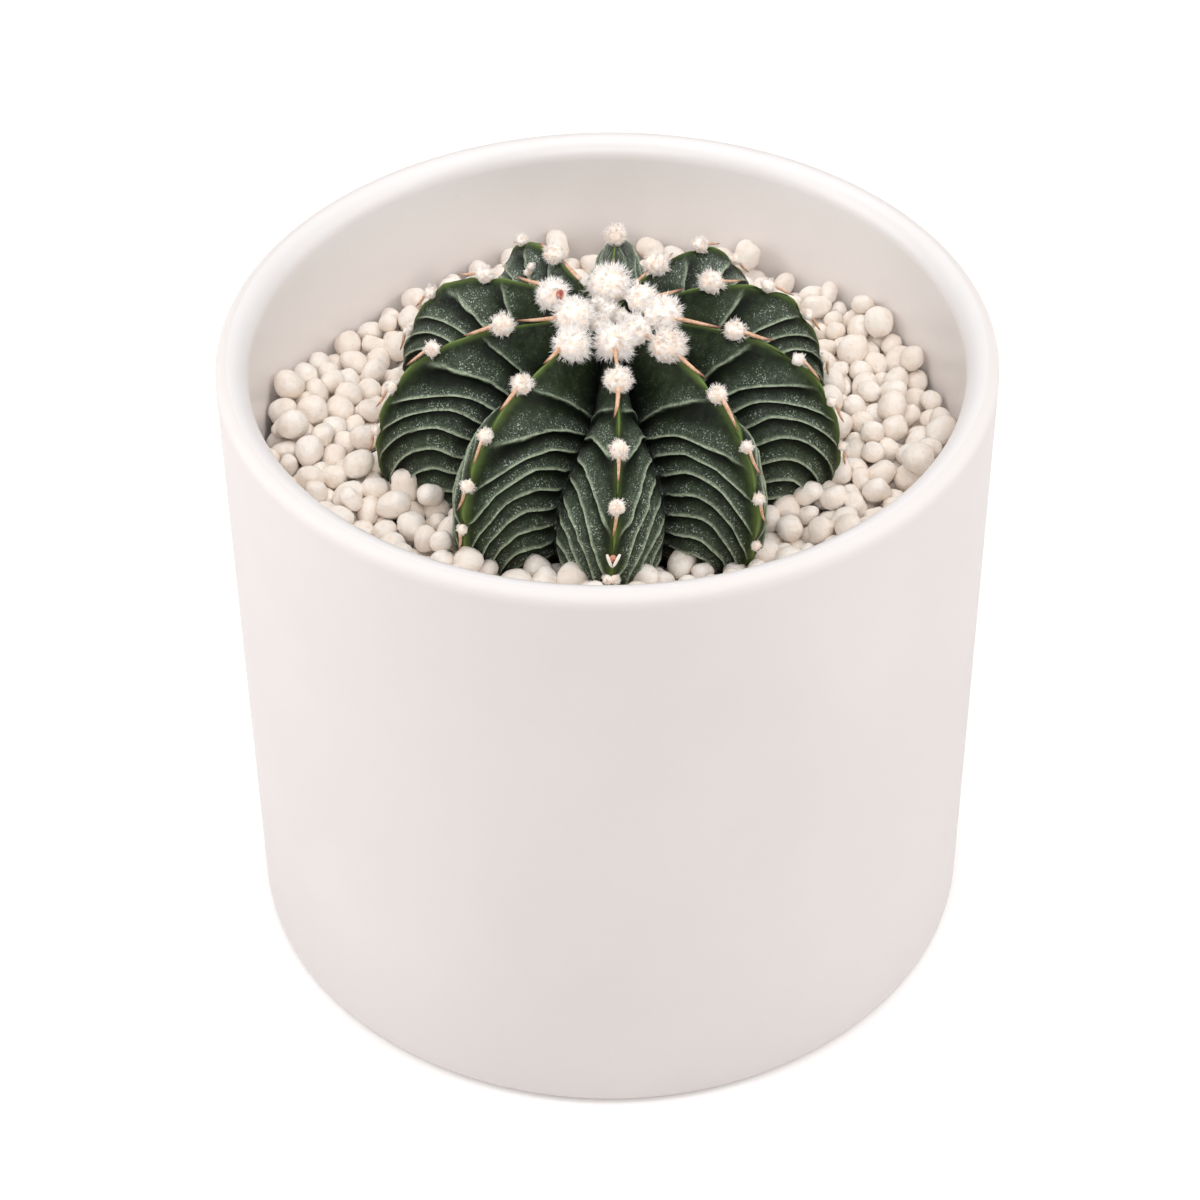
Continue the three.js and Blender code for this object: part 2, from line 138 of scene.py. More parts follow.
# The woolly balls of the crown: x, y, height over the rim, radius.
CROWN_BALLS = [
    (1.2, -7.2, 5.4, 3.3), (8.4, -0.9, 5.9, 3.15), (5.2, 3.2, 5.9, 2.7), (0.4, 7.2, 5.7, 3.6),
    (-8.3, 4.6, 5.8, 2.75), (-5.0, -1.2, 5.9, 3.2), (-5.3, -8.2, 5.7, 3.0), (4.4, -4.4, 5.7, 2.7)]
CROWN_MIDDLE = [
    (0.2, 1.4, 4.9, 1.9), (-1.2, 3.0, 5.2, 1.6), (2.2, 0.2, 4.8, 1.5), (-1.0, -1.6, 4.8, 1.9)]
CROWN_SINK = 0.3              # how much lower the balls lie than these heights
UNDER_CROWN = (PLANT_X, 0, RIM - 6)
STEM_MIDDLE = (PLANT_X, 0, RIM - 20)

WOOL_SEED = 3
TUFT_CORE = 0.8               # radius of the core, to the tuft's
TUFT_LIFT = 0.45              # how high a tuft's middle is over the crest, to its radius
LARGE_TUFT = 1.5              # above this radius the core has a finer mesh
HAIRS_A_WISP = 5
HAIR_START = 0.74             # where a hair leaves the core, to the tuft's radius
HAIR_ENDS = (0.86, 1.36)      # how far from a tuft's middle a hair may end, to its radius
SPINE_SEED = 21
LONG_SPINE = 3.9
LONG_SPINE_RADIUS = 0.35
SPINE_RADIUS = 0.26
SPINE_TAPER = (1, 1, 0.98, 0.95, 0.9, 0.84, 0.74, 0.6, 0.4)
CROWN_COVERS = 2.7            # as a tuft's radius, for a spine that comes out of the crown's wool

FIRST_BAND = 0.243            # places along the groove are parts of its whole length
BAND_STEP = 0.0525
BANDS = 8
BAND_HEIGHT = 0.85
BAND_UNDERCUT = 0.16          # width of the step under a band's lip, in band steps
BAND_SLIDE = 0.22             # how far a lip hangs over the step, in millimetres
TIER_POWER = 1.4
LIP_RISE = 0.28               # part of a band's height that is its lip
LIP_WIDTH = 0.08              # in band steps
BAND_SWEEP = 0.25             # how far a band goes down from groove to crest, at the most
SWEEP_START = 0.2             # the sweep grows from here, over about SWEEP_LENGTH,
SWEEP_LENGTH = 0.16
SWEEP_END = 0.62              # and fades from here to the collar
BAND_CURL = 0.028             # how far the bands' ends turn down at the groove
CREST_BLUNT = 0.04            # part of a flank's width over which the crest is rounded
NOTCH_DEPTH = 0.8             # of the crest at an areole
NOTCH_HALF_WIDTH = 1.7
# Columns of the stem's mesh, from the crest, 0, to the groove, 1.
ACROSS = np.array([
    0, 0.03, 0.06, 0.09, 0.12, 0.16, 0.2, 0.25, 0.31, 0.37, 0.43, 0.49, 0.55, 0.61, 0.67, 0.73, 0.79,
    0.84, 0.89, 0.93, 0.97, 1])
FIRST_ROW = 0.012
ROWS_A_BAND = 18
CROWN_ROWS = 24
FOOT_ROWS = 18

PEBBLE_COUNT = 1480
FINE_PEBBLES = 640            # the highest ones, which show
FINE_SQUARES = 5              # squares along a side of their unit_ball
COARSE_SQUARES = 3
PEBBLE_SIZES = (1.6, 2.5)     # radii
POUR_STEPS = 300
SETTLE_STEPS = 360            # those of pouring and those after it
POUR_SINK = 0.05              # millimetres a step
NEIGHBOUR_STEPS = 8           # steps between two looks for the stones that may touch
NEIGHBOUR_GAP = 1.2
TIGHTNESS = 0.945             # how near two stones may come, to the sum of their radii
STEM_TIGHTNESS = 0.85         # how near one may come to the stem, to its radius
PUSH = 0.8                    # part of an overlap that one step undoes
POUR_HEIGHT = -14
POUR_FROM = 28                # no stone starts nearer to the pot's axis
BED_BOTTOM = -30.65
BED_EDGE = INNER_RADIUS - 0.35
PEBBLE_SEED = 5

CAMERA_PLACE = (0, -0.3952, 0.3999)      # metres
CAMERA_TURNS = (48.933, 0.411, -0.148)   # degrees
CAMERA_LENS = 95.87                      # millimetres, for a sensor 36 wide
# The soft boxes: place and size in metres, and power in watts.
SOFT_BOXES = {
    "low left box": ((-0.8, 0, 0.35), (0.7, 0.6), 3.2),
    "low right box": ((0.8, 0, 0.35), (0.7, 0.6), 2.0),
    "left box": ((-0.7, -0.15, 0.85), (0.6, 0.6), 1.4),
    "right box": ((0.7, -0.15, 0.85), (0.6, 0.6), 2.3),
    "top box": ((0, 0.15, 0.9), (0.8, 0.8), 3.7),
    "front box": ((0, -0.75, 0.75), (0.8, 0.5), 3.8)}
LIGHTS_LOOK_AT = (0, 0, 0.06)
WORLD_LIGHT = 0.21
FLOOR_GLOW = 0.16
GLOW_GROWS = (450, 1500)                 # millimetres from the pot's foot
FLOOR_HALF = 4.0

# -------------------- arithmetic


def smooth(value, start, end):
    """0 before start, 1 after end, and between them t * t * (3 - 2 t)."""
    t = np.clip((value - start) / (end - start), 0, 1)
    return t * t * (3 - 2 * t)


def unit(vectors):
    return vectors / np.linalg.norm(vectors, axis=-1, keepdims=True)


def ripples(points, size, seed):
    """Uneven noise of about unit spread: the sum of sine waves through space in random directions,
    0.6 to 1.6 times size long."""
    waves = 20
    random = np.random.default_rng(seed)
    directions = unit(random.normal(size=(waves, 3)))
    lengths = size * random.uniform(0.6, 1.6, (waves, 1))
    phases = random.uniform(0, TAU, waves)
    return np.sin(points @ (TAU * directions / lengths).T + phases).sum(-1) * math.sqrt(2 / waves)


def outline(points):
    """A Catmull-Rom curve through the points with its ends mirrored. Gives a function from a part
    of the curve's length to radius and height, and the length."""
    steps = 80
    knots = np.array(points, float)
    knots = np.vstack([2 * knots[0] - knots[1], knots, 2 * knots[-1] - knots[-2]])
    p0, p1, p2, p3 = (knots[i:len(knots) - 3 + i, None] for i in range(4))
    t = np.linspace(0, 1, steps, endpoint=False)[None, :, None]
    spans = 0.5 * (2 * p1 + (p2 - p0) * t + (2 * p0 - 5 * p1 + 4 * p2 - p3) * t ** 2
                   + (3 * p1 - p0 - 3 * p2 + p3) * t ** 3)
    path = np.vstack([spans.reshape(-1, 2), knots[-2]])
    run = np.concatenate([[0], np.cumsum(np.linalg.norm(np.diff(path, axis=0), axis=1))])

    def at(part):
        where = part * run[-1]
        return np.interp(where, run, path[:, 0]), np.interp(where, run, path[:, 1])

    return at, run[-1]


def arc(x, y, radius, start, end, steps):
    """Points of a circle's arc between two angles in degrees."""
    angle = np.radians(np.linspace(start, end, steps + 1))
    return np.stack([x + radius * np.cos(angle), y + radius * np.sin(angle)], -1)


# -------------------- meshes


def new_object(name, data):
    made = bpy.data.objects.new(name, data)
    bpy.context.scene.collection.objects.link(made)
    return made


def make_piece(name, points, faces, materials, node, attributes=(), face_material=None):
    """A smooth-shaded piece from points in millimetres and lists of equal-sided faces."""
    mesh = bpy.data.meshes.new(name)
    corners = np.concatenate([group.ravel() for group in faces])
    sides = np.concatenate([np.full(len(group), group.shape[1]) for group in faces])
    mesh.vertices.add(len(points))
    mesh.vertices.foreach_set("co", (points * MM).astype(np.float32).ravel())
    mesh.loops.add(len(corners))
    mesh.loops.foreach_set("vertex_index", corners.astype(np.int32))
    mesh.polygons.add(len(sides))
    mesh.polygons.foreach_set("loop_start", (np.cumsum(sides) - sides).astype(np.int32))
    if face_material is not None:
        mesh.polygons.foreach_set("material_index", face_material.astype(np.int32))
    mesh.update(calc_edges=True)
    mesh.validate()
    mesh.shade_smooth()
    for label, values in dict(attributes).items():
        layer = mesh.attributes.new(label, "FLOAT", "POINT")
        layer.data.foreach_set("value", values.astype(np.float32).ravel())
    for material in materials:
        mesh.materials.append(material)
    piece = new_object(name, mesh)
    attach(piece, "root")
    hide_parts(node)


def ring_faces(rows, columns):
    """Faces of a grid whose rows close on themselves, with a pole before its first row and one
    after its last. Points are the pole, the rows in order, the last pole."""
    grid = 1 + np.arange(rows * columns).reshape(rows, columns)
    beside = np.roll(grid, -1, axis=1)
    quads = np.stack([grid[:-1], grid[1:], beside[1:], beside[:-1]], -1).reshape(-1, 4)
    first = np.stack([np.zeros(columns, int), grid[0], beside[0]], -1)
    last = np.stack([np.full(columns, 1 + rows * columns), beside[-1], grid[-1]], -1)
    return quads, np.vstack([first, last])


def unit_ball(squares):
    """A cube with its sides cut in squares, blown up to a ball of radius 1: a point of a side, at
    tan(u), tan(v) and 1 from the middle, is brought to length 1."""
    t = np.tan(np.linspace(-1, 1, squares + 1) * math.pi / 4)
    u, v = np.meshgrid(t, t, indexing="ij")
    sides = []
    for sign in (1, -1):
        side = np.stack([np.full_like(u, sign), u, sign * v], -1)
        sides += [np.roll(side, shift, axis=-1) for shift in range(3)]
    points = unit(np.array(sides))
    number = np.arange(points[..., 0].size).reshape(points.shape[:3])
    quads = np.stack([number[:, :-1, :-1], number[:, 1:, :-1],
                      number[:, 1:, 1:], number[:, :-1, 1:]], -1)
    merged, where = np.unique(np.round(points.reshape(-1, 3), 6), axis=0, return_inverse=True)
    return merged, where.ravel()[quads].reshape(-1, 4)


def copies(faces, count, size):
    """The faces of count copies of a shape of size points, one after the other."""
    return (faces[None] + size * np.arange(count)[:, None, None]).reshape(-1, faces.shape[1])


def random_turns(random, count):
    """Random rotations as matrices, from normalised random quaternions."""
    w, x, y, z = unit(random.normal(size=(count, 4))).T
    return np.stack([
        np.stack([1 - 2 * (y * y + z * z), 2 * (x * y - z * w), 2 * (x * z + y * w)], -1),
        np.stack([2 * (x * y + z * w), 1 - 2 * (x * x + z * z), 2 * (y * z - x * w)], -1),
        np.stack([2 * (x * z - y * w), 2 * (y * z + x * w), 1 - 2 * (x * x + y * y)], -1)], -2)


def tapered(paths, radii, sides):
    """Round rods along many paths at once: a ring of sides points across the path at each of its
    points but the last, which is the tip. paths is (rods, points, 3) and radii (rods, points - 1).
    Returns the points, the faces and each point's part of the way to the tip."""
    count, steps = paths.shape[:2]
    along = unit(np.gradient(paths, axis=1))
    spare = np.where(np.abs(along[:, :1, 2:]) < 0.8, [0.0, 0.0, 1.0], [1.0, 0.0, 0.0])
    beside = unit(np.cross(along, spare))
    over = np.cross(beside, along)
    turn = TAU * np.arange(sides) / sides
    ring = np.cos(turn)[:, None] * beside[:, :-1, None] + np.sin(turn)[:, None] * over[:, :-1, None]
    rings = paths[:, :-1, None] + radii[..., None, None] * ring
    points = np.concatenate([paths[:, :1], rings.reshape(count, -1, 3), paths[:, -1:]], axis=1)
    quads, poles = ring_faces(steps - 1, sides)
    size = points.shape[1]
    part = np.concatenate([[0], np.repeat(np.arange(steps - 1) / (steps - 1), sides), [1]])
    faces = [copies(quads[:, ::-1], count, size), copies(poles[:, ::-1], count, size)]
    return points.reshape(-1, 3), faces, np.tile(part, count)


def joined(parts):
    """Several (points, [quads, triangles], value) as one."""
    starts = np.cumsum([0] + [len(points) for points, _, _ in parts[:-1]])
    points = np.vstack([points for points, _, _ in parts])
    faces = [np.vstack([groups[i] + start for (_, groups, _), start in zip(parts, starts)
                        if len(groups) > i]) for i in range(2)]
    return points, faces, np.concatenate([value for _, _, value in parts])


# -------------------- materials


class Paint:
    """A material under construction: its shader, and short ways to add what colours it."""

    def __init__(self, name, roughness, **constants):
        self.material = bpy.data.materials.new(name)
        self.material.use_nodes = True
        self.nodes = self.material.node_tree.nodes
        self.links = self.material.node_tree.links
        self.shader = self.nodes["Principled BSDF"]
        self.shader.inputs["Roughness"].default_value = roughness
        for constant, value in constants.items():
            socket = constant.replace("_", " ").title().replace("Ior", "IOR")
            self.shader.inputs[socket].default_value = value
        place = self.nodes.new("ShaderNodeTexCoord").outputs["Object"]
        scale = self.add("ShaderNodeVectorMath", {0: place, "Scale": 1 / MM}, operation="SCALE")
        self.place = scale.outputs[0]

    def put(self, value, socket):
        """Links a node's output to a socket, or sets the socket to a constant."""
        if isinstance(value, bpy.types.NodeSocket):
            self.links.new(value, socket)
        elif isinstance(value, str):
            socket.default_value = (*colour(value), 1)
        else:
            socket.default_value = value

    def add(self, kind, inputs, **settings):
        """A new node with its settings, and its inputs by the names or numbers of their sockets."""
        node = self.nodes.new(kind)
        for setting, value in settings.items():
            setattr(node, setting, value)
        for socket, value in inputs.items():
            self.put(value, node.inputs[socket])
        return node

    def attribute(self, name):
        return self.add("ShaderNodeAttribute", {}, attribute_name=name).outputs["Fac"]

    def noise(self, size, detail, stretch=(1, 1, 1)):
        """Noise whose lumps are about size millimetres across."""
        place = self.add("ShaderNodeMapping", {"Vector": self.place, "Scale": stretch}).outputs[0]
        inputs = {"Vector": place, "Scale": 1 / size, "Detail": detail}
        return self.add("ShaderNodeTexNoise", inputs).outputs["Fac"]

    def height(self):
        return self.add("ShaderNodeSeparateXYZ", {0: self.place}).outputs["Z"]

    def between(self, value, low, high, start=0.0, end=1.0):
        """Brings a value from low..high to start..end, held at its ends."""
        inputs = {"Value": value, "From Min": low, "From Max": high, "To Min": start, "To Max": end}
        node = self.add("ShaderNodeMapRange", inputs, interpolation_type="SMOOTHSTEP")
        return node.outputs["Result"]

    def clouds(self, size, detail, low, high, start=0.0, end=1.0):
        return self.between(self.noise(size, detail), low, high, start, end)

    def product(self, first, second):
        node = self.add("ShaderNodeMath", {0: first, 1: second}, operation="MULTIPLY")
        return node.outputs["Value"]

    def mix(self, part, first, second):
        """The first colour, and part of the second over it."""
        inputs = {"Factor": part, 6: first, 7: second}
        return self.add("ShaderNodeMix", inputs, data_type="RGBA").outputs[2]

    def bump(self, height, distance, under=None):
        """distance is the height of the relief in millimetres."""
        inputs = {"Height": height, "Distance": distance * MM, "Strength": 1.0}
        if under is not None:
            inputs["Normal"] = under
        return self.add("ShaderNodeBump", inputs).outputs["Normal"]

    def finish(self, base, normal=None, roughness=None):
        inputs = {"Base Color": base, "Normal": normal, "Roughness": roughness}
        for socket, value in inputs.items():
            if value is not None:
                self.put(value, self.shader.inputs[socket])
        return self.material


def colour(text):
    """A screen colour such as e8dcd0 as red, green and blue in linear light."""
    screen = np.array([int(text[i:i + 2], 16) for i in (0, 2, 4)]) / 255
    return np.where(screen > 0.04045, ((screen + 0.055) / 1.055) ** 2.4, screen / 12.92)


def skin_material():
    """Dark green skin: pale lips on the bands, partly a painted highlight, white scurf over them,
    thicker on the back as a painted sheen, a yellower crest, painted shade under the lips and deep in
    the grooves, where the skin is darker too, and a brown tint at the foot."""
    paint = Paint("cactus skin", 0.52, specular_ior_level=0.12)
    broad = paint.clouds(7, 2, 0.35, 0.65)
    green = paint.mix(broad, "181e12", "212a17")
    green = paint.mix(paint.clouds(1.1, 3, 0.35, 0.7, 0, 0.4), green, "36472a")
    # Painted shade deep in the grooves and on the crown's pole, over skin that is darker there too.
    green = paint.mix(paint.attribute("groove_shade"), green, "050804")
    # The scurf mask is heavier on the back of the plant, where its colour is a painted sheen.
    frost = paint.clouds(0.3, 3, 0.3, 0.7, 0.2, 1)
    frost = paint.product(frost, paint.attribute("scurf"))
    green = paint.mix(paint.product(frost, 0.26), green, "7f8a7d")
    specks = paint.clouds(0.27, 2, 0.58, 0.66)
    patches = paint.clouds(2.2, 2, 0.37, 0.62)
    specks = paint.product(paint.product(specks, patches), paint.attribute("scurf"))
    green = paint.mix(paint.product(specks, 0.76), green, "c2cbbe")
    # Painted shade in the gap under each lip.
    green = paint.mix(paint.product(paint.attribute("gap"), 0.95), green, "060a05")
    green = paint.mix(paint.product(paint.attribute("crest"), 0.85), green, "7b924c")
    # The lips' pale colour is partly their own and partly a painted highlight.
    uneven = paint.clouds(0.5, 3, 0.3, 0.62, 0.45, 1)
    lip = paint.product(paint.attribute("lip"), uneven)
    green = paint.mix(lip, green, "b4c1a5")
    low = paint.between(paint.height(), RIM - 25, RIM - 20, 1, 0)
    cork = paint.product(low, paint.clouds(3.2, 3, 0.45, 0.62, 0, 0.7))
    green = paint.mix(cork, green, "4f3c2c")
    relief = paint.bump(paint.noise(0.45, 3), 0.05)
    roughness = paint.clouds(0.6, 2, 0.3, 0.7, 0.42, 0.66)
    return paint.finish(green, relief, roughness)


def wool_material(name, root, tip, glow):
    """Felted cream wool, whiter towards the tips of its hairs. Its faint glow stands for the light
    that the hairs hand on to one another."""
    paint = Paint(name, 1.0, sheen_weight=0.5, sheen_roughness=0.6, specular_ior_level=0.0,
                  emission_color=(1, 0.93, 0.87, 1), emission_strength=glow)
    mottled = paint.mix(paint.clouds(0.8, 2, 0.35, 0.65), root, tip)
    base = paint.mix(paint.between(paint.attribute("tip"), 0.05, 0.5), mottled, tip)
    return paint.finish(base, paint.bump(paint.noise(0.22, 3), 0.05))


def spine_material():
    """Pale horn, browner and redder to the tip."""
    paint = Paint("spine horn", 0.42)
    part = paint.attribute("tip")
    horn = paint.mix(paint.clouds(0.5, 3, 0.3, 0.7), "e3bd9f", "c9936f")
    horn = paint.mix(paint.between(part, 0.05, 0.3, 0.6, 0), horn, "efd9c5")
    horn = paint.mix(paint.between(part, 0.6, 1.0), horn, "7f4331")
    return paint.finish(horn, paint.bump(paint.noise(0.25, 2), 0.03))


def scar_material():
    """Dry skin of a withered bud and of bare scars, from orange to red brown."""
    paint = Paint("scar skin", 0.6)
    base = paint.mix(paint.clouds(0.6, 2, 0.4, 0.6), "a04a44", "d3967a")
    return paint.finish(base, paint.bump(paint.noise(0.3, 2), 0.04))


def pebble_material(name):
    """Chalky cream stone with faint clouds, and a little darker in its pits."""
    paint = Paint(name, 0.62, specular_ior_level=0.3)
    stone = paint.mix(paint.clouds(5.5, 2, 0.35, 0.65), "f7ebdf", "fdf5ed")
    stone = paint.mix(paint.clouds(1.1, 4, 0.5, 0.72, 0, 0.45), stone, "eedccb")
    pits = paint.clouds(0.8, 2, 0.64, 0.74)
    stone = paint.mix(paint.product(pits, 0.35), stone, "d9c2ad")
    relief = paint.bump(paint.noise(1.2, 3), 0.22)
    relief = paint.bump(paint.noise(0.3, 2), 0.04, under=relief)
    return paint.finish(stone, relief)


def ceramic(name, roughness, upper, lower, span, **constants):
    """White ceramic with a very faint cloudiness and a slightly uneven surface, of one colour at
    the rim and another from span millimetres under it, and brown at the foot's edge, partly bare clay
    and partly a painted contact shadow."""
    paint = Paint(name, roughness, **constants)
    base = paint.mix(paint.between(paint.height(), RIM - span, RIM - 0.3), lower, upper)
    clouds = paint.clouds(38, 3, 0.3, 0.7, 0, 0.3)
    base = paint.mix(clouds, base, "e0dad8")
    base = paint.mix(paint.clouds(1.1, 3, 0.6, 0.85, 0, 0.12), base, "d8d1cf")
    # Brown at the foot's edge: partly bare clay, partly a painted contact shadow.
    base = paint.mix(paint.between(paint.height(), 0.5, 1.0, 0.85, 0), base, "8a716b")
    relief = paint.bump(paint.noise(9, 3, (1, 1, 0.5)), 0.05)
    relief = paint.bump(paint.noise(0.9, 3), 0.012, under=relief)
    return paint.finish(base, relief)


def soil_material():
    """Dark, crumbly potting mix."""
    paint = Paint("potting soil", 0.95)
    crumbs = paint.noise(1.8, 5)
    base = paint.mix(paint.between(crumbs, 0.35, 0.65), "2a1d14", "5a4433")
    return paint.finish(base, paint.bump(crumbs, 1.2))


# -------------------- pot


def make_pot():
    """The wall's profile turned round the Z axis, glazed on the inside from the rim's top."""
    foot = POT_RADIUS - FOOT_WIDTH
    outside = np.vstack([
        (DRAIN_RADIUS, FOOT_HEIGHT), (foot - FOOT_HEIGHT, FOOT_HEIGHT), (foot, 0),
        arc(POT_RADIUS - BASE_ROUND, BASE_ROUND, BASE_ROUND, -90, 0, 8)])
    heights = np.linspace(BASE_ROUND, RIM - RIM_ROUND, 16)[1:-1]
    wall = np.stack([np.full_like(heights, POT_RADIUS), heights], -1)
    rim_outside = arc(POT_RADIUS - RIM_ROUND, RIM - RIM_ROUND, RIM_ROUND, 0, 90, 9)
    rim_inside = arc(INNER_RADIUS + RIM_ROUND_INSIDE, RIM - RIM_ROUND_INSIDE, RIM_ROUND_INSIDE,
                     90, 180, 14)
    inside = np.vstack([
        arc(INNER_RADIUS - INNER_CORNER, FLOOR_TOP + INNER_CORNER, INNER_CORNER, 0, -90, 6),
        (DRAIN_RADIUS, FLOOR_TOP)])
    profile = np.vstack([outside, wall, rim_outside, rim_inside[1:], inside])
    glazed_from = len(outside) + len(wall) + len(rim_outside) - 1
    turn = TAU * np.arange(POT_SIDES) / POT_SIDES
    radius = profile[:, 0, None]
    height = np.broadcast_to(profile[:, 1, None], (len(profile), POT_SIDES))
    points = np.stack([radius * np.cos(turn), radius * np.sin(turn), height], -1)
    grid = np.arange(len(profile) * POT_SIDES).reshape(len(profile), POT_SIDES)
    beside = np.roll(grid, -1, axis=1)
    quads = np.stack([grid, beside, np.roll(beside, -1, axis=0), np.roll(grid, -1, axis=0)], -1)
    glazed = np.repeat(np.arange(len(profile)) >= glazed_from, POT_SIDES)
    # The glaze is painted darker on the rim's top, where the light from above falls hardest, and
    # lighter inside the pot: painted shade and painted light.
    materials = [ceramic("bare ceramic", 0.55, "e2dcd9", "d6cfcd", 2.6),
                 ceramic("glazed ceramic", 0.35, "e8e4e3", "f9f3f1", 3.5,
                         coat_weight=0.15, coat_roughness=0.2)]
    make_piece("pot_turned", points.reshape(-1, 3), [quads.reshape(-1, 4)], materials, "pot",
               face_material=glazed)


# -------------------- stem

crest_at, CREST_LENGTH = outline(CREST)
groove_at, _ = outline(GROOVE)


def around_plant(radius, angle, height):
    """Points round the plant's axis, at heights from the rim."""
    return np.stack(np.broadcast_arrays(
        PLANT_X + radius * np.cos(angle), radius * np.sin(angle), RIM + height), -1)


def down_crest(column, g):
    """The part of the way down the outlines at a column's place on the flank. The bands run along
    lines of equal g: they leave the groove, turned down a little at its edge, and sweep down the
    crest as (1 - a) to a power, which is lower high up."""
    a = column["a"]
    rise = 1 - np.exp(-np.maximum(g - SWEEP_START, 0) / SWEEP_LENGTH)
    sweep = BAND_SWEEP * column["strength"] * rise * smooth(g, 0.25, column["whole"])
    sweep = (sweep + column["low"] * smooth(g, 0.45, 0.6)) * np.minimum(1, (1 - g) / (1 - SWEEP_END))
    curl = BAND_CURL * smooth(a, 0.5, 1) * smooth(g, 0.15, 0.3) * (1 - smooth(g, 0.75, 1))
    power = UPPER_POWER + (column["power"] - UPPER_POWER) * smooth(g, 0.3, 0.45)
    return np.clip(g + sweep * (1 - a) ** power + curl, 0, 1)


def crest_angle(azimuth, lean, w):
    """A crest's direction round the plant, w of the way down: a rib leans off its upright plane."""
    return azimuth + lean * (np.minimum(w, LEAN_TO) - LEAN_FROM)


def flank_point(column, g):
    """The bare flank of a rib: between the crest's outline, a = 0, and the groove's, a = 1, the
    radius and height mix in proportion to a, blunted at the crest, and the angle is the crest's
    plus a * the flank's share of the way to the next crest, which is half of it low down and goes by
    the ribs' widths high up. g runs from the crown to the collar."""
    a = column["a"]
    w = down_crest(column, g)
    blunt = np.sqrt(a * a + CREST_BLUNT ** 2) - CREST_BLUNT * (1 - a)
    crest_radius, crest_height = crest_at(w)
    groove_radius, groove_height = groove_at(w)
    radius = column["reach"] * crest_radius * (1 - blunt) + groove_radius * blunt
    height = crest_height + (groove_height - crest_height) * blunt
    angle = crest_angle(column["azimuth"], column["lean"], w)
    share = 1 + (column["share"] - 1) * (1 - smooth(g, *WIDTHS_SHOW))
    angle = angle + a * share * crest_angle(column["half"], column["half_lean"], w)
    return around_plant(radius, angle, height)


def outward(column, g):
    """The way down the flank and the way out of the plant, by small steps down the flank and across
    it. On the crest and in the groove the way out lies in the plane that both flanks share."""
    step = 0.004
    a = column["a"]
    along = flank_point(column, np.minimum(1, g + step)) - flank_point(column, g - step)
    across = (flank_point({**column, "a": np.minimum(1, a + step)}, g)
              - flank_point({**column, "a": np.maximum(0, a - step)}, g))
    normal = np.cross(along, across) * np.sign(column["half"])[..., None]
    point = flank_point(column, g)
    angle = np.arctan2(point[..., 1], point[..., 0] - PLANT_X)
    beside = np.stack([-np.sin(angle), np.cos(angle), np.zeros_like(angle)], -1)
    shared = ((a == 0) | (a == 1))[..., None]
    return unit(along), unit(normal - shared * beside * (normal * beside).sum(-1, keepdims=True))


def stem_columns():
    """For each column of the stem's mesh, round the plant: its rib's number, direction and lean,
    the signed half angle to the next crest and how that changes, the flank's share of that angle,
    its place a from crest to groove, its bands' phase, the four values of their sweep and the
    crest's reach."""
    columns = []
    for rib, (direction, lean, width, ahead, _, sweep, _) in enumerate(RIBS):
        following = (rib + 1) % len(RIBS)
        next_direction, next_lean, next_width, _, behind, next_sweep, _ = RIBS[following]
        half = math.radians((next_direction - direction) % 360) / 2
        half_lean = math.radians(next_lean - lean) / 2
        share = 2 * width / (width + next_width)
        for owner, sign, places, part, phase, sweeps in (
                (rib, 1, ACROSS[:-1], share, ahead, sweep),
                (following, -1, ACROSS[:0:-1], 2 - share, behind, next_sweep)):
            azimuth, own_lean = np.radians(RIBS[owner][:2])
            columns += [(owner, azimuth, own_lean, sign * half, sign * half_lean, part, a,
                         phase, *sweeps) for a in places]
    names = ("rib", "azimuth", "lean", "half", "half_lean", "share", "a", "phase",
             "strength", "power", "whole", "low", "reach")
    return {name: values[None] for name, values in zip(names, np.array(columns).T)}


def stem_rows():
    """Rows from the crown to the collar, closest at the lips of the bands."""
    part = np.linspace(0, 1, ROWS_A_BAND, endpoint=False)
    spread = part - 0.6 * np.sin(TAU * part) / TAU
    banded = FIRST_BAND + BAND_STEP * (np.arange(-1, BANDS + 1)[:, None] + spread).ravel()
    crown = np.linspace(FIRST_ROW, banded[0], CROWN_ROWS, endpoint=False)
    foot = np.linspace(FIRST_BAND + BAND_STEP * (BANDS + 1), 1, FOOT_ROWS)
    return np.concatenate([crown, banded, foot])[:, None]


def bands(g, phase, uneven, stretch):
    """Tiers like roof tiles: over each step a tier rises as (1 - LIP_RISE) t^TIER_POWER and ends
    in a thin lip, a bell curve of height LIP_RISE, under which it steps back in. A lip is thinner in
    g where the steps are stretched, so that it is as wide everywhere. Gives each point's height,
    0 to 1, its nearness to a lip and to the gap under one, and its scurf, which is most low on a
    tier."""
    place = (g - FIRST_BAND) / BAND_STEP - phase + uneven
    part = place % 1
    t = np.clip((part - BAND_UNDERCUT) / (1 - BAND_UNDERCUT), 0, 1)
    tier = (1 - LIP_RISE) * t ** TIER_POWER + LIP_RISE * np.exp(-((1 - t) * stretch / LIP_WIDTH) ** 2)
    under = 1 - smooth(part, 0, BAND_UNDERCUT)
    fade = smooth(place, -1.0, 0.5) * (place < BANDS)
    height = np.where(part < BAND_UNDERCUT, under, tier) * fade
    # A lip's pale colour is partly a painted highlight.
    lip = np.maximum(np.exp(-((1 - part) * stretch / 0.065) ** 2), np.exp(-(part / 0.04) ** 2)) * fade
    # This mask carries painted shade under each lip.
    gap = smooth(part, 0.03, 0.09) * (1 - smooth(part, 0.14, 0.62)) * fade
    scurf = smooth(part, 0.3, 0.85) * fade + 0.1
    return height, lip, gap, scurf


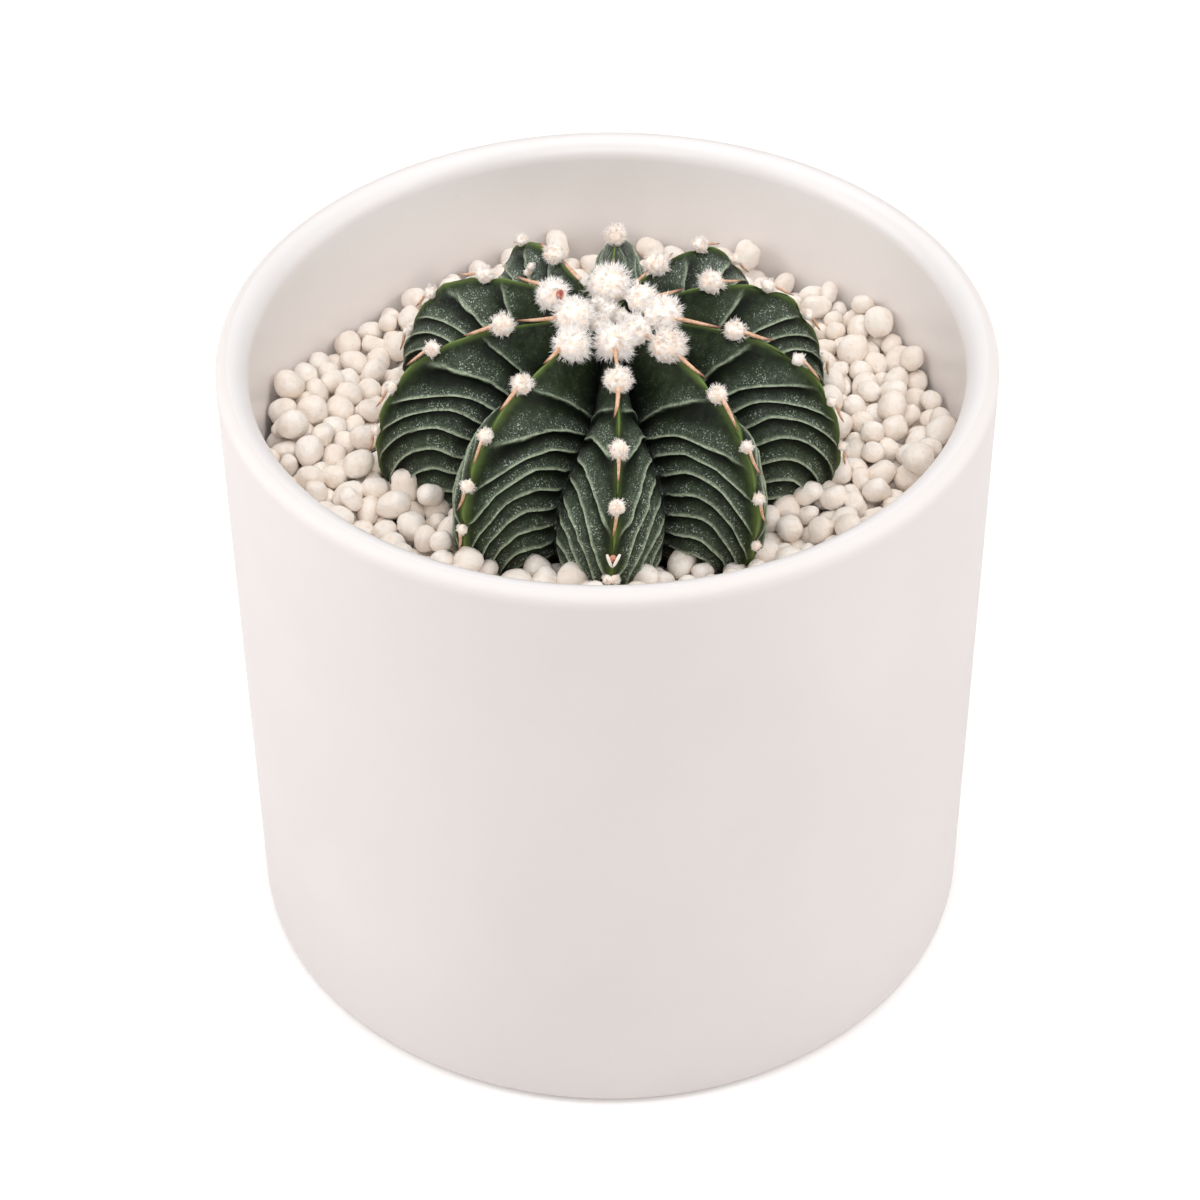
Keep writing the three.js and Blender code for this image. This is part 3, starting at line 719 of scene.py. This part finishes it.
def notch(rib, distance):
    """How deep a crest dips at a distance along it: most at an areole, as exp(-(off / width)^2)."""
    depth = np.zeros_like(distance)
    for number, (*_, areoles) in enumerate(RIBS):
        for place, _, _ in areoles:
            off = (distance - place) / NOTCH_HALF_WIDTH
            depth = np.maximum(depth, np.exp(-off * off) * (rib == number))
    return depth


def root_rings(collar):
    """Rings of the root, with each point in the direction of the collar's point over it."""
    angle = np.arctan2(collar[:, 1], collar[:, 0] - PLANT_X)
    return [around_plant(radius, angle, height) for radius, height in ROOT]


def skin_attributes(rib, a, g, y, lip, gap, scurf):
    """How much of each tint the points have. Lips are whole a little way off the crest, farther off up
    high, and the front rib carries more scurf. The back of the plant takes more of the scurf's colour
    as a painted sheen of light grazing it from behind. The lips' pale colour is partly a painted
    highlight, and the gap under them and the grooves take painted shade."""
    # More scurf colour on the back of the plant is a painted sheen of light grazing it from behind.
    back_sheen_and_front_scurf = 1.5 * smooth(y, 5, 20) + 0.3 * (rib == FRONT_RIB)
    lip_whole = 0.3 - 0.18 * smooth(g, 0.3, 0.42)
    # The painted shade of the grooves starts farther from the crest low down.
    groove_shade_from = 0.42 + 0.3 * smooth(g, 0.25, 0.5)
    return {
        "lip": lip * smooth(a, 0.03, lip_whole) * (1 - smooth(a, 0.88, 0.98)),
        "gap": gap * smooth(a, 0.06, 0.2),
        "scurf": (scurf + back_sheen_and_front_scurf) * smooth(a, 0.06, 0.22),
        "crest": 1 - 0.62 * smooth(a, 0.01, 0.035) - 0.38 * smooth(a, 0.02, 0.1),
        "groove_shade": smooth(a, groove_shade_from, 1),
    }


def make_stem():
    """The flanks with their bands, a pole on the crown, and the root under the collar."""
    column = stem_columns()
    rib, a, phase = column["rib"], column["a"], column["phase"]
    rows = stem_rows()
    # A shift of up to half a step lays the rows of every flank along its own lips. It fades at the
    # crest and in the groove, where two flanks share their points.
    nearest = (phase + 0.5) % 1 - 0.5
    shift = nearest * BAND_STEP * smooth(a, 0, 0.06) * (1 - smooth(a, 0.95, 1))
    g = rows + shift * smooth(rows, 0.1, 0.2) * (1 - smooth(rows, 0.74, 0.9))
    bare = flank_point(column, g)
    down, out = outward(column, g)
    uneven = 0.014 * ripples(bare, 3, seed=1) + 0.011 * ripples(bare, 0.8, seed=2)
    step = 0.003
    stretch = (down_crest(column, g + step) - down_crest(column, g - step)) / (2 * step)
    height, lip, gap, scurf = bands(g, phase, uneven, np.clip(stretch, 0.8, 2.6))
    # The highest bands rise out of the crest more slowly.
    shown = smooth(a, 0.02, 0.36 - 0.22 * smooth(g, 0.3, 0.42)) * (1 - smooth(a, 0.72, 1))
    distance = CREST_LENGTH * down_crest(column, g)
    dip = notch(rib, distance) * np.exp(-(a / 0.13) ** 2)
    raised = BAND_HEIGHT * shown * height * (1 + 0.1 * ripples(bare, 2.6, seed=3))
    raised = raised - NOTCH_DEPTH * dip
    raised = raised + 0.12 * ripples(bare, 7, seed=4) + 0.015 * ripples(bare, 0.7, seed=5)
    points = bare + out * raised[..., None] + down * (BAND_SLIDE * shown * height ** 2)[..., None]
    points[-1] = bare[-1]
    root = root_rings(bare[-1])
    top = [(PLANT_X, 0, RIM + CREST[0][1])]
    end = [(PLANT_X, 0, RIM + ROOT_END)]
    grid = np.concatenate([points, root])
    quads, poles = ring_faces(*grid.shape[:2])
    attributes = skin_attributes(rib, a, g, bare[..., 1], lip, gap, scurf)
    for name, values in attributes.items():
        # The crown's pole takes the full painted groove shade.
        pole = 1.0 if name == "groove_shade" else 0.0
        under = np.zeros(len(root) * g.shape[1] + 1)
        attributes[name] = np.concatenate([[pole], np.broadcast_to(values, g.shape).ravel(), under])
    make_piece("cactus_stem", np.vstack([top, grid.reshape(-1, 3), end]), [quads, poles],
               [skin_material()], "cactus", attributes)


# -------------------- wool and spines


def crest_place(rib, distance, lift, aside=0.0):
    """Points over a rib's crest, lift out from it in the crest's upright plane, and then turned
    round the plant until they are aside from that plane, counterclockwise."""
    direction, lean, *_, (*_, reach), _ = RIBS[rib]
    step = 0.004
    part = distance / CREST_LENGTH
    ahead, on, back = (np.stack(crest_at(part + off), -1) * (reach, 1) for off in (step, 0, -step))
    tangent = unit(ahead - back)
    radius = on[..., 0] - tangent[..., 1] * lift
    height = on[..., 1] + tangent[..., 0] * lift
    angle = crest_angle(math.radians(direction), math.radians(lean), part) + aside / radius
    return around_plant(radius, angle, height)


def tuft(random, centre, out, radius, loose=1.0):
    """A ball of wool: a lumpy core, and wisps of short hairs on it but where it faces away from out.
    The hairs of a wisp start apart on the core and meet at their tips, about radius from the centre.
    Loose wool has more uneven hairs."""
    core_points, core_quads = unit_ball(7 if radius > LARGE_TUFT else 5)
    lumps = 1 + 0.06 * ripples(core_points * radius + centre, 0.9, seed=7)[:, None]
    core = centre + radius * TUFT_CORE * core_points * lumps
    wisps = int(30 + 22 * radius ** 2)
    heading = unit(random.normal(size=(wisps * 3, 3)))
    heading = heading[heading @ out > -0.45][:wisps]
    length = 1.05 + 0.14 * random.normal(size=(len(heading), 1))
    count = len(heading) * HAIRS_A_WISP
    heading = np.repeat(heading, HAIRS_A_WISP, axis=0)
    length = np.repeat(length, HAIRS_A_WISP, axis=0)
    start = unit(heading + 0.3 / max(radius, 1) * random.normal(size=(count, 3)))
    tip = unit(heading + 0.08 * loose * random.normal(size=(count, 3)))
    reach = radius * (length + 0.04 * loose * random.normal(size=(count, 1)))
    root = centre + start * radius * HAIR_START
    end = centre + tip * np.clip(reach, HAIR_ENDS[0] * radius, HAIR_ENDS[1] * radius)
    middle = (root + end) / 2 + 0.04 * radius * loose * random.normal(size=(count, 3))
    paths = np.stack([root, middle, end], 1)
    width = 0.026 + 0.005 * min(radius, 3)
    radii = np.tile([width, 0.8 * width], (count, 1))
    hairs = tapered(paths, radii, 3)
    return [(core, [core_quads, np.zeros((0, 3), int)], np.zeros(len(core))), hairs]


def spine_paths():
    """Each spine leaves the lower edge of its tuft, close over the crest, and lifts at its tip."""
    random = np.random.default_rng(SPINE_SEED)
    part = np.linspace(0, 1, len(SPINE_TAPER) + 1)
    paths, radii = [], []
    for rib, (*_, areoles) in enumerate(RIBS):
        for distance, radius, length in areoles:
            if not length:
                continue
            covered = radius or CROWN_COVERS
            start = distance + 0.5 * covered
            where = start + (0.5 * covered + length) * part
            aside = random.normal(scale=0.45) * part ** 2
            lift = 0.22 * covered * (1 - part) ** 2 + 0.35 + random.uniform(0.2, 0.8) * part ** 3
            paths.append(crest_place(rib, where, lift, aside))
            thick = LONG_SPINE_RADIUS if length > LONG_SPINE else SPINE_RADIUS
            radii.append(thick * np.array(SPINE_TAPER))
    return np.array(paths), np.array(radii)


def v_areole():
    """Two thin wings of wool that meet lower down the front rib's crest."""
    half_width, top, foot = V_AREOLE
    part = np.linspace(0, 1, len(V_THICK) + 1)
    down = top + (foot - top) * part
    wings = np.array([crest_place(FRONT_RIB, down, 0.2, side * half_width * (1 - part))
                      for side in (-1, 1)])
    return tapered(wings, np.tile(V_THICK, (2, 1)), 6)


def make_scars():
    """Small ellipsoids: the bud on the crown and the bare middles of the two split areoles."""
    ball, quads = unit_ball(5)
    scars = [np.array(BUD) + (0, 0, RIM) + ball * BUD_SIZE]
    for start, (below, lift, size) in ((V_AREOLE[1], V_SCAR), (TWO_LOBES[2], LOBES_SCAR)):
        scars.append(crest_place(FRONT_RIB, start + below, lift) + ball * size)
    make_piece("scars", np.vstack(scars), [copies(quads, len(scars), len(ball))], [scar_material()],
               "cactus")


def make_wool(name, tufts, material, node):
    points, faces, tip = joined(tufts)
    make_piece(name, points, faces, [material], node, {"tip": tip})


def make_areole_wool(random):
    """The tufts along the crests, the split areoles and the flake, as a front and a back piece."""
    front, back = [v_areole()], []
    for rib, (*_, areoles) in enumerate(RIBS):
        tufts = back if rib in BACK_RIBS else front
        for distance, radius, _ in areoles:
            if radius:
                foot = crest_place(rib, distance, 0.0)
                centre = crest_place(rib, distance, TUFT_LIFT * radius - 0.5 * NOTCH_DEPTH)
                tufts += tuft(random, centre, unit(centre - foot), radius)
    radius, aside, distance = TWO_LOBES
    foot = crest_place(FRONT_RIB, distance, 0.0)
    for sign in (-1, 1):
        centre = crest_place(FRONT_RIB, distance, 0.3 * radius, sign * aside)
        front += tuft(random, centre, unit(centre - foot), radius)
    for place in np.array(FLAKE) + (0, 0, RIM):
        back += tuft(random, place, unit(place - STEM_MIDDLE), FLAKE_RADIUS, 0.6)
    areole_wool = wool_material("areole wool", "f9e0cb", "fef6ef", 0.05)
    make_wool("areole_wool_front", front, areole_wool, "cactus")
    make_wool("areole_wool_back", back, areole_wool, "cactus")


def make_crown_wool(random):
    """The balls of young wool, and the looser, greyer wool in the middle of them."""
    balls = []
    for x, y, height, radius in CROWN_BALLS:
        centre = np.array([x, y, RIM + height - CROWN_SINK])
        balls += tuft(random, centre, unit(centre - UNDER_CROWN), radius)
    young = wool_material("crown wool", "fbe4d0", "fffbf8", 0.11)
    make_wool("crown_wool_balls", balls, young, "crown_wool")
    up = np.array([0.0, 0.0, 1.0])
    middle = []
    for x, y, height, radius in CROWN_MIDDLE:
        middle += tuft(random, np.array([x, y, RIM + height - CROWN_SINK]), up, radius, 2.0)
    old = wool_material("old crown wool", "cdbfb2", "f8f2ec", 0.09)
    make_wool("crown_wool_middle", middle, old, "crown_wool")


def make_spines():
    points, faces, tip = tapered(*spine_paths(), 8)
    make_piece("spines", points, faces, [spine_material()], "cactus", {"tip": tip})


# -------------------- pebbles


def stem_radius(x, y, z):
    """About how far the stem reaches from its axis, towards x, y and at the height z from the rim:
    a mix of the crest's and the groove's radius by the angle to the nearest crest."""
    part = np.linspace(0.5, 1, 60)
    crest_radius, crest_height = crest_at(part)
    groove_radius, groove_height = groove_at(part)
    crest = np.interp(-z, -crest_height, crest_radius)
    groove = np.interp(-z, -groove_height, groove_radius)
    angle = np.degrees(np.arctan2(y, x - PLANT_X)) % 360
    directions = np.sort(np.array([(rib[0] + rib[1] * (LEAN_TO - LEAN_FROM)) % 360 for rib in RIBS]))
    directions = np.concatenate([[directions[-1] - 360], directions, [directions[0] + 360]])
    behind = np.searchsorted(directions, angle, side="right") - 1
    half = (directions[behind + 1] - directions[behind]) / 2
    a = 1 - np.abs(angle - directions[behind] - half) / half
    return crest + (groove - crest) * np.clip(a, 0, 1)


def bed_heap(x, y):
    """How deep the bed is to its mean: it climbs towards the wall, less at the front, and to the
    back, and has a dip beside the left front rib, as a bell curve."""
    wall = smooth(np.hypot(x, y), 36, 52) * smooth(y, -45, -15)
    front = smooth(-y, 30, 42) * smooth(np.abs(x), 4, 9)
    dip = np.exp(-((x + 34) ** 2 + (y + 18) ** 2) / (2 * 9 ** 2))
    return 1 + 0.15 * wall + 0.06 * front + 0.08 * smooth(y, 12, 48) - 0.17 * dip


def settled_stones():
    """Balls of many sizes poured round the plant: in each step every ball sinks a little, and then
    those that overlap a ball, the wall, the soil or the stem are pushed apart. Near the end the bed
    is heaped up."""
    random = np.random.default_rng(PEBBLE_SEED)
    radius = random.uniform(*PEBBLE_SIZES, PEBBLE_COUNT)
    angle = random.uniform(0, TAU, PEBBLE_COUNT)
    away = np.sqrt(random.uniform(POUR_FROM ** 2, BED_EDGE ** 2, PEBBLE_COUNT))
    centre = np.stack([away * np.cos(angle), away * np.sin(angle),
                       random.uniform(BED_BOTTOM, POUR_HEIGHT, PEBBLE_COUNT)], -1)
    for step in range(SETTLE_STEPS):
        if step < POUR_STEPS:
            centre[:, 2] -= POUR_SINK
        if step == POUR_STEPS:
            centre[:, 2] = BED_BOTTOM + (centre[:, 2] - BED_BOTTOM) * bed_heap(*centre[:, :2].T)
        if step % NEIGHBOUR_STEPS == 0:
            first, second = np.triu_indices(PEBBLE_COUNT, 1)
            far = radius[first] + radius[second] + NEIGHBOUR_GAP
            near = ((centre[first] - centre[second]) ** 2).sum(-1) < far ** 2
            first, second = first[near], second[near]
        apart = centre[first] - centre[second]
        gap = np.linalg.norm(apart, axis=-1)
        push = np.maximum(TIGHTNESS * (radius[first] + radius[second]) - gap, 0) / 2
        push = apart * (push / np.maximum(gap, 1e-6))[:, None]
        move = np.zeros_like(centre)
        np.add.at(move, first, push)
        np.add.at(move, second, -push)
        centre += PUSH * move
        from_plant = centre[:, :2] - (PLANT_X, 0)
        reach = np.linalg.norm(from_plant, axis=-1)
        inside = stem_radius(*centre.T) + STEM_TIGHTNESS * radius - reach
        centre[:, :2] += from_plant / reach[:, None] * np.maximum(inside, 0)[:, None]
        away = np.linalg.norm(centre[:, :2], axis=-1)
        centre[:, :2] *= np.minimum(1, (BED_EDGE - radius) / away)[:, None]
        centre[:, 2] = np.maximum(centre[:, 2], BED_BOTTOM + radius)
    return centre, radius


def stone_shapes(random, ball, radius):
    """Each stone is a ball drawn out to an ellipsoid, made lumpy and turned at random. Some have a
    waist: across the long axis they are narrower by waist * exp(-(x / 0.35)^2)."""
    count = len(radius)
    waist = random.uniform(0.08, 0.2, count) * (random.random(count) < 0.25)
    axes = np.stack([random.uniform(0.98, 1.16, count) + 0.5 * waist, random.uniform(0.94, 1.06, count),
                     random.uniform(0.8, 0.95, count)], -1)
    apart = random.uniform(-40, 40, (count, 1, 3))
    lumps = 1 + 0.05 * ripples(ball[None] + apart, 1.6, seed=8)
    narrow = 1 - waist[:, None] * np.exp(-(ball[None, :, 0] / 0.35) ** 2)
    shape = ball[None] * lumps[..., None] * axes[:, None]
    shape[..., 1:] *= narrow[..., None]
    return np.einsum("nij,nkj->nki", random_turns(random, count), shape * radius[:, None, None])


def make_pebbles():
    """The highest stones, which show, have finer meshes than those under them."""
    centre, radius = settled_stones()
    random = np.random.default_rng(PEBBLE_SEED + 1)
    order = np.argsort(-centre[:, 2])
    for name, squares, which in (("pebbles_upper", FINE_SQUARES, order[:FINE_PEBBLES]),
                                 ("pebbles_lower", COARSE_SQUARES, order[FINE_PEBBLES:])):
        ball, quads = unit_ball(squares)
        points = centre[which, None] + stone_shapes(random, ball, radius[which])
        away = np.linalg.norm(points[..., :2], axis=-1, keepdims=True)
        points[..., :2] *= np.minimum(1, BED_EDGE / away)
        points[..., 2] = np.maximum(points[..., 2], BED_BOTTOM) + RIM
        make_piece(name, points.reshape(-1, 3), [copies(quads, len(which), len(ball))],
                   [pebble_material(name.replace("_", " "))], "pebbles")


# -------------------- studio


def make_camera():
    """The photograph's viewpoint."""
    data = bpy.data.cameras.new("camera")
    data.sensor_width = 36
    data.lens = CAMERA_LENS
    camera = new_object("camera", data)
    camera.location = CAMERA_PLACE
    camera.rotation_euler = Euler([math.radians(turn) for turn in CAMERA_TURNS])
    bpy.context.scene.camera = camera


def make_light(name, place, size, power):
    """A soft box that looks at the pot."""
    data = bpy.data.lights.new(name, "AREA")
    data.shape = "RECTANGLE"
    data.size, data.size_y = size
    data.energy = power
    light = new_object(name, data)
    light.location = place
    towards = Vector(LIGHTS_LOOK_AT) - light.location
    light.rotation_euler = towards.to_track_quat("-Z", "Y").to_euler()


def make_world():
    """Faint light from all round, and white where the camera looks past the floor."""
    world = bpy.data.worlds.new("studio")
    world.use_nodes = True
    nodes, links = world.node_tree.nodes, world.node_tree.links
    around = nodes["Background"]
    around.inputs["Color"].default_value = (1, 1, 1, 1)
    around.inputs["Strength"].default_value = WORLD_LIGHT
    behind = nodes.new("ShaderNodeBackground")
    behind.inputs["Color"].default_value = (1, 1, 1, 1)
    seen = nodes.new("ShaderNodeLightPath")
    choice = nodes.new("ShaderNodeMixShader")
    links.new(seen.outputs["Is Camera Ray"], choice.inputs[0])
    links.new(around.outputs[0], choice.inputs[1])
    links.new(behind.outputs[0], choice.inputs[2])
    links.new(choice.outputs[0], nodes["World Output"].inputs["Surface"])
    bpy.context.scene.world = world


def make_floor():
    """A white table that glows, and more far from the pot, so that only the pot's own shadow shows
    on it."""
    mesh = bpy.data.meshes.new("floor")
    corners = [(x * FLOOR_HALF, y * FLOOR_HALF, 0) for x, y in ((-1, -1), (1, -1), (1, 1), (-1, 1))]
    mesh.from_pydata(corners, [], [(0, 1, 2, 3)])
    paint = Paint("white floor", 0.9)
    distance = paint.add("ShaderNodeVectorMath", {0: paint.place}, operation="LENGTH")
    glow = paint.between(distance.outputs["Value"], *GLOW_GROWS, FLOOR_GLOW, 1)
    paint.shader.inputs["Emission Color"].default_value = (1, 1, 1, 1)
    paint.put(glow, paint.shader.inputs["Emission Strength"])
    mesh.materials.append(paint.finish("f4f2f1"))
    floor = new_object("floor", mesh)


def make_studio():
    for name, box in SOFT_BOXES.items():
        make_light(name, *box)
    make_world()
    make_floor()
    bpy.context.scene.view_settings.view_transform = "Standard"


make_camera()
make_studio()
make_pot()
make_stem()
wool_random = np.random.default_rng(WOOL_SEED)
make_areole_wool(wool_random)
make_crown_wool(wool_random)
make_spines()
make_scars()
make_pebbles()
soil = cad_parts["soil"]
soil.data.materials.clear()
soil.data.materials.append(soil_material())
